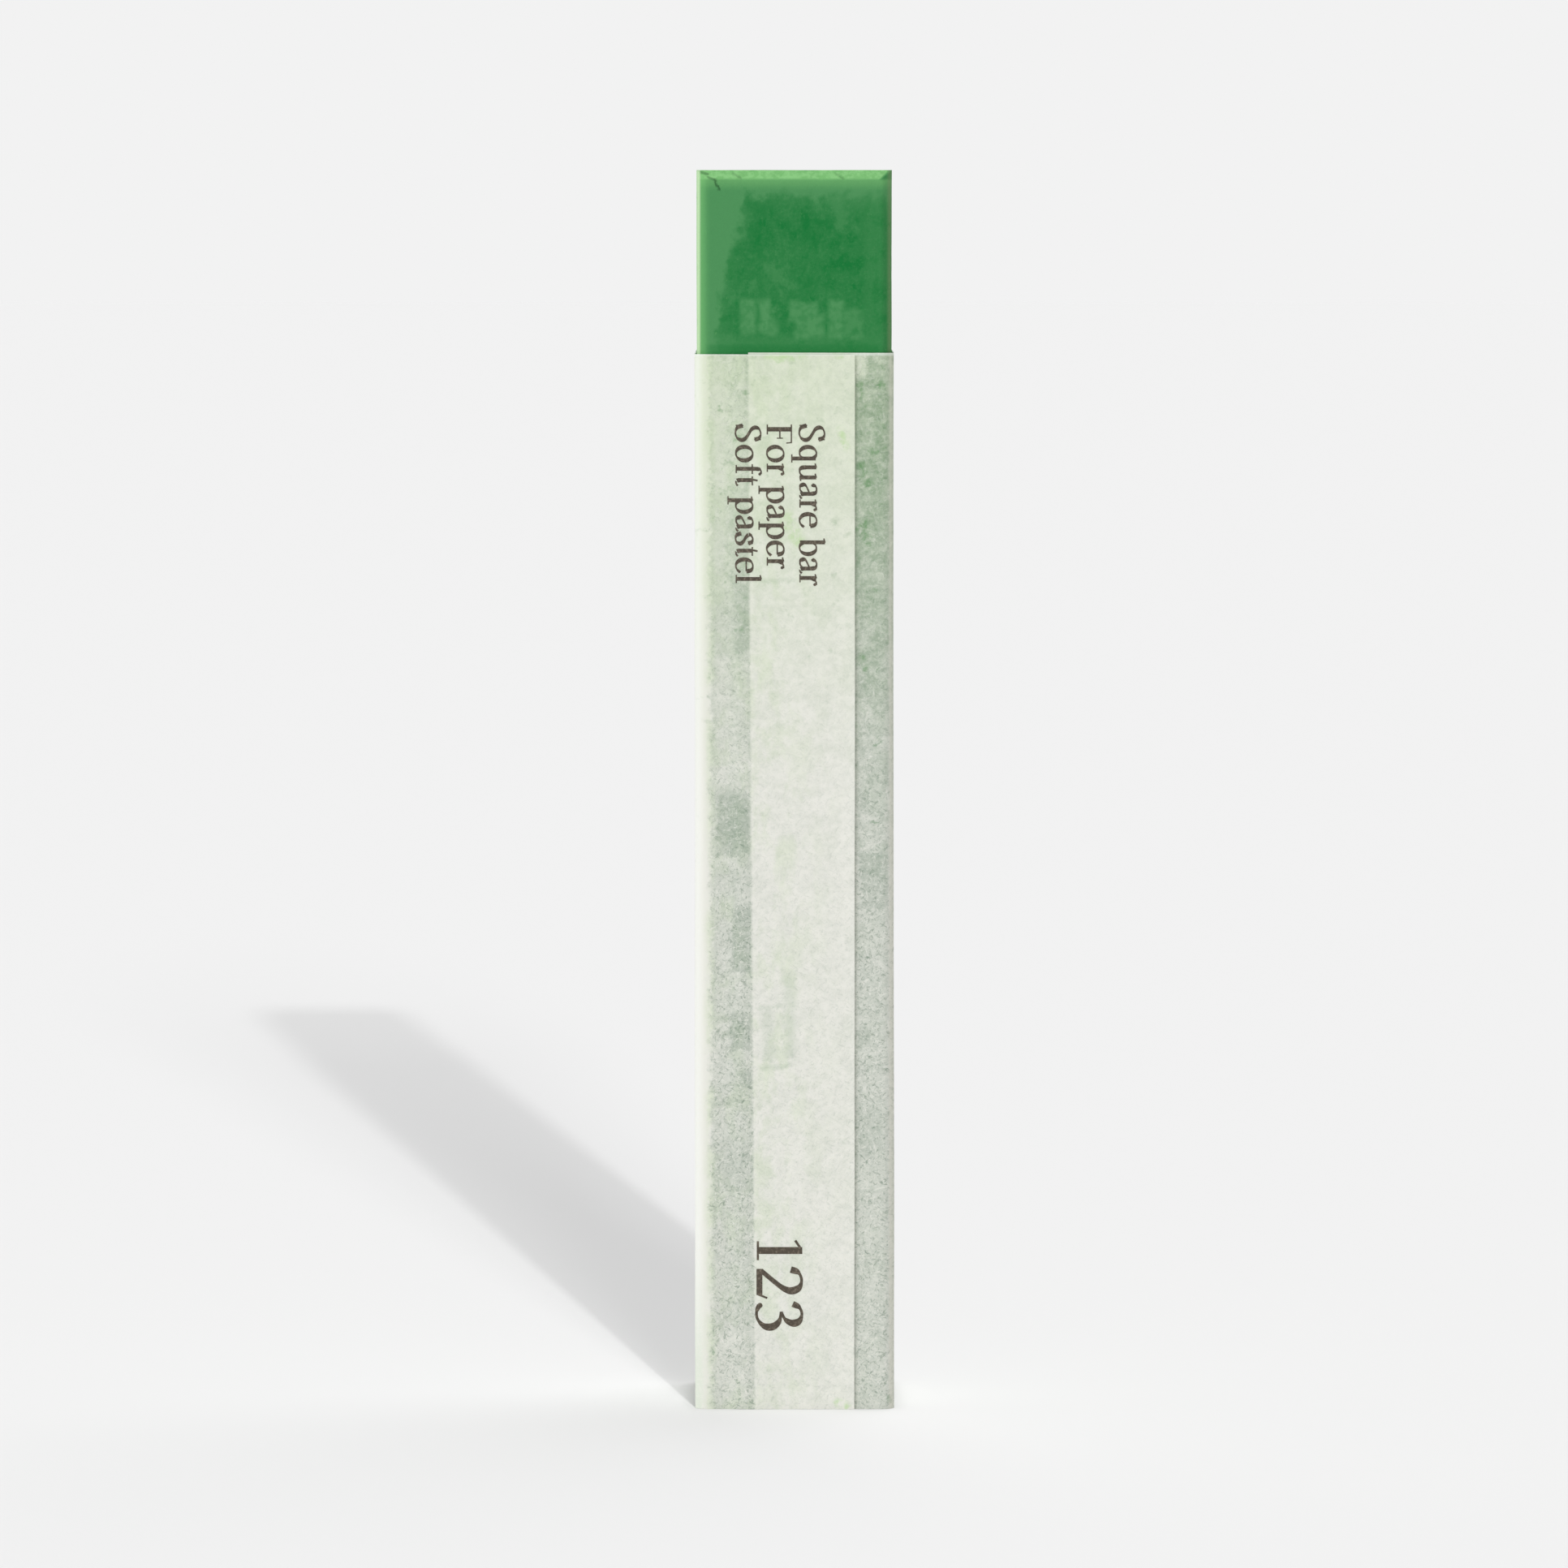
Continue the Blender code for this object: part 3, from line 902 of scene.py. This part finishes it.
def curve(*points):
    """A smooth line through the points."""
    ends = [points[0], *points, points[-1]]
    path = []
    for p0, p1, p2, p3 in zip(ends, ends[1:], ends[2:], ends[3:]):
        for i in range(6):
            t = i / 6
            path.append(tuple(spline(*four, t) for four in zip(p0, p1, p2, p3)))
    path.append(points[-1])
    return ("path", path)


def line(x0, y0, x1, y1, width):
    return ("line", [(x0, y0), (x1, y1)], width)


def dot(x, y, radius):
    return ("dot", [(x, y)], radius)


def stem(x, y0, y1, width=84):
    return line(x, y0, x, y1, width)


def serif(x, y, half=108):
    return line(x - half, y, x + half, y, 26)


def flag(x, y, reach=100):
    return line(x - reach, y - 42, x + 8, y - 8, 30)


GLYPHS = {
    " ": (250, []),
    "S": (
        556,
        [
            curve((436, 500), (395, 612), (285, 658), (160, 615), (118, 515), (170, 415), (290, 338),
                  (410, 250), (446, 140), (380, 30), (250, -8), (120, 45), (66, 185)),
            line(438, 490, 438, 662, 26),
            line(62, 200, 62, 0, 26),
        ],
    ),
    "o": (500, [ring(250, 225, 180, 222)]),
    "f": (
        333,
        [stem(150, 0, 560), curve((150, 540), (168, 632), (225, 668), (285, 650)), dot(292, 632, 36),
         line(30, 436, 285, 436, 30), serif(155, 13)],
    ),
    "t": (
        278,
        [stem(115, 90, 436), line(100, 436, 128, 575, 40), curve((115, 100), (138, 22), (200, 8), (262, 52)),
         line(18, 436, 250, 436, 30)],
    ),
    "p": (500, [stem(118, -217, 440), serif(122, -204), flag(118, 452), ring(262, 222, 166, 222, -145, 145)]),
    "a": (
        444,
        [curve((76, 335), (115, 420), (200, 450), (285, 412), (310, 318)), stem(310, 70, 330),
         dot(86, 340, 34),
         curve((310, 100), (330, 22), (380, 14), (436, 58)),
         curve((310, 268), (200, 222), (100, 168), (66, 100), (110, 22), (205, 18), (310, 98))],
    ),
    "s": (
        389,
        [curve((312, 330), (275, 415), (190, 448), (105, 405), (88, 335), (160, 262), (255, 205), (318, 120),
               (272, 20), (165, -6), (85, 40), (46, 140)),
         line(316, 320, 316, 455, 20), line(42, 150, 42, 0, 20)],
    ),
    "e": (
        444,
        [line(78, 276, 384, 276, 30),
         curve((382, 280), (352, 400), (245, 450), (125, 400), (68, 250), (100, 90), (210, 4), (325, 28),
               (410, 118))],
    ),
    "q": (500, [stem(378, -217, 425), serif(378, -204), ring(240, 222, 166, 222, 35, 325)]),
    "u": (
        500,
        [stem(112, 160, 440), flag(112, 452), curve((112, 170), (125, 60), (190, 4), (285, 22), (370, 105)),
         stem(378, 0, 440), flag(378, 452), line(370, 14, 470, 30, 30)],
    ),
    "l": (278, [stem(139, 0, 672), serif(139, 13), flag(139, 682)]),
    "r": (
        333,
        [stem(115, 0, 440), serif(122, 13), flag(115, 452),
         curve((130, 322), (180, 405), (240, 440), (290, 420)),
         dot(290, 402, 38)],
    ),
    "b": (500, [stem(118, 10, 672), flag(118, 682), ring(262, 222, 166, 222, -145, 145)]),
    "F": (
        556,
        [stem(165, 0, 662, 96), serif(170, 13, 130), line(38, 648, 520, 648, 28),
         line(515, 660, 528, 515, 24),
         line(165, 345, 400, 345, 28), line(400, 425, 400, 265, 22)],
    ),
    "1": (500, [stem(262, 0, 670, 86), serif(265, 13, 140), line(112, 566, 236, 650, 30)]),
    "2": (
        500,
        [curve((46, 500), (90, 612), (200, 660), (315, 622), (362, 515), (330, 400), (230, 262), (60, 60)),
         line(36, 36, 425, 36, 72), line(418, 20, 470, 152, 24)],
    ),
    "3": (
        500,
        [curve((58, 530), (110, 625), (205, 664), (310, 625), (345, 530), (290, 420), (175, 358)),
         curve((175, 358), (310, 330), (395, 235), (388, 110), (290, 12), (175, -6), (75, 36)),
         dot(80, 44, 38)],
    ),
}


def ribbon(path, width_at):
    """Left and right sides of a stroke along path; width_at takes the direction of travel."""
    sides = []
    for i, point in enumerate(path):
        before, after = path[max(i - 1, 0)], path[min(i + 1, len(path) - 1)]
        angle = math.atan2(after[1] - before[1], after[0] - before[0])
        half = width_at(angle) * INK_SPREAD / 2
        away = (-math.sin(angle) * half, math.cos(angle) * half)
        sides.append(((point[0] + away[0], point[1] + away[1]), (point[0] - away[0], point[1] - away[1])))
    return sides


def pen_width(angle):
    return max(HAIR, THICK * abs(math.sin(angle - PEN_ANGLE)))


def stroke_outlines(stroke):
    """A stroke's area as small four-sided pieces and round dots, in the letter's own units."""
    kind, path = stroke[:2]
    if kind == "dot":
        (x, y), radius = path[0], stroke[2]
        angles = [i * math.pi / 8 for i in range(16)]
        return [[(x + radius * math.cos(a), y + radius * math.sin(a)) for a in angles]]
    if kind == "line":
        (x0, y0), (x1, y1) = path
        steps = max(1, round(math.hypot(x1 - x0, y1 - y0) / 90))
        path = [(x0 + (x1 - x0) * i / steps, y0 + (y1 - y0) * i / steps) for i in range(steps + 1)]
        sides = ribbon(path, lambda angle: stroke[2])
    else:
        sides = ribbon(path, pen_width)
    return [[a[1], b[1], b[0], a[0]] for a, b in zip(sides, sides[1:])]


def covers(piece, x, y):
    """Whether the point is inside the piece, whose corners run counterclockwise."""
    sides = zip(piece, piece[1:] + piece[:1])
    return all((x1 - x0) * (y - y0) >= (y1 - y0) * (x - x0) for (x0, y0), (x1, y1) in sides)


def letter_faces(strokes):
    """The strokes' joined area, as points and triangles that don't overlap."""
    pieces = [outline for stroke in strokes for outline in stroke_outlines(stroke)]
    corners = [Vector(corner) for piece in pieces for corner in piece]
    rings, count = [], 0
    for piece in pieces:
        rings.append(list(range(count, count + len(piece))))
        count += len(piece)
    points, _, triangles, *_ = delaunay_2d_cdt(corners, [], rings, 1, 0.01)
    inked = []
    for triangle in triangles:
        middle = sum((points[i] for i in triangle), Vector((0, 0))) / len(triangle)
        if any(covers(piece, middle.x, middle.y) for piece in pieces):
            inked.append(list(triangle))
    return points, inked


def print_text(name, text, em, start_z, baseline_x, material):
    """A line of print that reads downwards, its letters' tops to the right, as thin ink on the top layer."""
    bm = bmesh.new()
    unit, pen = em / 1000, 0.0
    for letter in text:
        advance, strokes = GLYPHS[letter]
        points, triangles = letter_faces(strokes) if strokes else ([], [])
        used = sorted({i for triangle in triangles for i in triangle})
        fronts, backs = {}, {}
        for i in used:
            x, z = baseline_x + points[i].y * unit, start_z - (pen + points[i].x) * unit
            y = top_layer_y(x, z)
            fronts[i] = bm.verts.new((x, y - INK_RISE, z))
            backs[i] = bm.verts.new((x, y + INK_DEPTH, z))
        outline = set()
        for triangle in triangles:
            bm.faces.new([fronts[i] for i in triangle])
            bm.faces.new([backs[i] for i in reversed(triangle)])
            for edge in zip(triangle, triangle[1:] + triangle[:1]):
                if edge[::-1] in outline:
                    outline.remove(edge[::-1])
                else:
                    outline.add(edge)
        for i, j in sorted(outline):
            bm.faces.new((fronts[j], fronts[i], backs[i], backs[j]))
        pen += advance
    bmesh.ops.recalc_face_normals(bm, faces=bm.faces)
    mesh = bpy.data.meshes.new(name)
    bm.to_mesh(mesh)
    bm.free()
    mesh.materials.append(material)
    obj = bpy.data.objects.new(name, mesh)
    bpy.context.scene.collection.objects.link(obj)
    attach(obj, "sleeve")
    return obj


WORDS_EM, WORDS_TOP_Z = 1.98 * MM, 51.83 * MM
WORDS = (("Square bar", 0.28 * MM), ("For paper", -1.43 * MM), ("Soft pastel", -3.05 * MM))  # with baseline x
NUMBER_EM, NUMBER_TOP_Z, NUMBER_BASELINE_X = 3.55 * MM, 9.33 * MM, -1.95 * MM


def make_print(material):
    """Generic words and a generic number, where such a label carries its colour name and number."""
    for number, (text, baseline_x) in enumerate(WORDS, 1):
        print_text(f"print_line_{number}", text, WORDS_EM, WORDS_TOP_Z, baseline_x, material)
    print_text("print_number", "123", NUMBER_EM, NUMBER_TOP_Z, NUMBER_BASELINE_X, material)


# ---------------------------------------------------------------- floor, light and camera


def link_light(light, objects, name):
    """The light shines only on these objects."""
    receivers = bpy.data.collections.new(name)
    for obj in objects:
        receivers.objects.link(obj)
    light.light_linking.receiver_collection = receivers


FLOOR_GREY = 0.8
FLOOR_RADIUS = 4.0


def make_floor():
    bm = bmesh.new()
    bmesh.ops.create_circle(bm, cap_ends=True, segments=96, radius=FLOOR_RADIUS)
    mesh = bpy.data.meshes.new("floor")
    bm.to_mesh(mesh)
    bm.free()
    g = Graph("floor_white")
    mesh.materials.append(g.finish((FLOOR_GREY, FLOOR_GREY, FLOOR_GREY, 1.0), 0.9, specular=0.0))
    floor = bpy.data.objects.new("floor", mesh)
    bpy.context.scene.collection.objects.link(floor)
    floor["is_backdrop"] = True
    return floor


def make_sun(name, direction, strength, spread):
    data = bpy.data.lights.new(name, "SUN")
    data.energy = strength
    data.angle = math.radians(spread)
    sun = bpy.data.objects.new(name, data)
    sun.rotation_mode = "QUATERNION"
    sun.rotation_quaternion = Vector(direction).to_track_quat("-Z", "Y")
    bpy.context.scene.collection.objects.link(sun)
    return sun


def make_world(seen, lighting):
    """A plain white room: one brightness where the camera sees it, a lower one as light."""
    world = bpy.data.worlds.new("studio")
    world.use_nodes = True
    nodes, links = world.node_tree.nodes, world.node_tree.links
    nodes.clear()
    path = nodes.new("ShaderNodeLightPath")
    shades = []
    for value in (lighting, seen):
        shade = nodes.new("ShaderNodeBackground")
        shade.inputs["Color"].default_value = (value, value, value, 1.0)
        shades.append(shade)
    choose = nodes.new("ShaderNodeMixShader")
    output = nodes.new("ShaderNodeOutputWorld")
    links.new(path.outputs["Is Camera Ray"], choose.inputs[0])
    links.new(shades[0].outputs[0], choose.inputs[1])
    links.new(shades[1].outputs[0], choose.inputs[2])
    links.new(choose.outputs[0], output.inputs["Surface"])
    bpy.context.scene.world = world


def make_lights(floor, pieces):
    """The floor has lights of its own: the photograph's shadow doesn't come from the stick's."""
    make_world(seen=0.888, lighting=0.25)
    link_light(make_sun("overhead_light", (0, 0, -1), 1.12, 2), [floor], "lit_by_overhead")
    link_light(make_sun("back_light", (-0.35, -0.6, -1), 0.78, 50), [floor], "lit_by_back")
    link_light(make_sun("dome_light", (0, 0.25, -1), 1.25, 180), pieces, "lit_by_dome")
    link_light(make_sun("key_light", (0.62, 0.46, -0.64), 1.25, 40), pieces, "lit_by_key")
    low_direction = (-0.160, 0.945, -0.292)
    for name, strength, spread in (("low_light", 1.6, 1.0), ("low_glow", 1.6, 8.5)):
        link_light(make_sun(name, low_direction, strength, spread), [floor], f"lit_by_{name}")


FRAME_WIDTH = STICK_TOP * 1.2625  # what the photograph's frame spans at the stick
CAMERA_PITCH = math.radians(4)


def make_camera():
    data = bpy.data.cameras.new("camera")
    data.lens = 200
    data.sensor_width = 36
    data.clip_start, data.clip_end = 0.01, 50
    camera = bpy.data.objects.new("camera", data)
    bpy.context.scene.collection.objects.link(camera)
    distance = FRAME_WIDTH * data.lens / data.sensor_width
    aim = Vector((-0.53 * MM, -STICK_HALF, STICK_TOP / 2 + 0.44 * MM))
    camera.location = aim + Vector((0, -math.cos(CAMERA_PITCH), math.sin(CAMERA_PITCH))) * distance
    camera.rotation_euler = (math.pi / 2 - CAMERA_PITCH, 0, 0)
    bpy.context.scene.camera = camera


def main():
    bpy.context.scene.view_settings.view_transform = "Standard"
    make_stick(pastel_material())
    make_sleeve(paper_material())
    make_print(ink_material())
    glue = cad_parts["seam_adhesive"]
    glue.data.materials.clear()
    glue.data.materials.append(glue_material())
    floor = make_floor()
    make_lights(floor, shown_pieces())
    make_camera()


main()
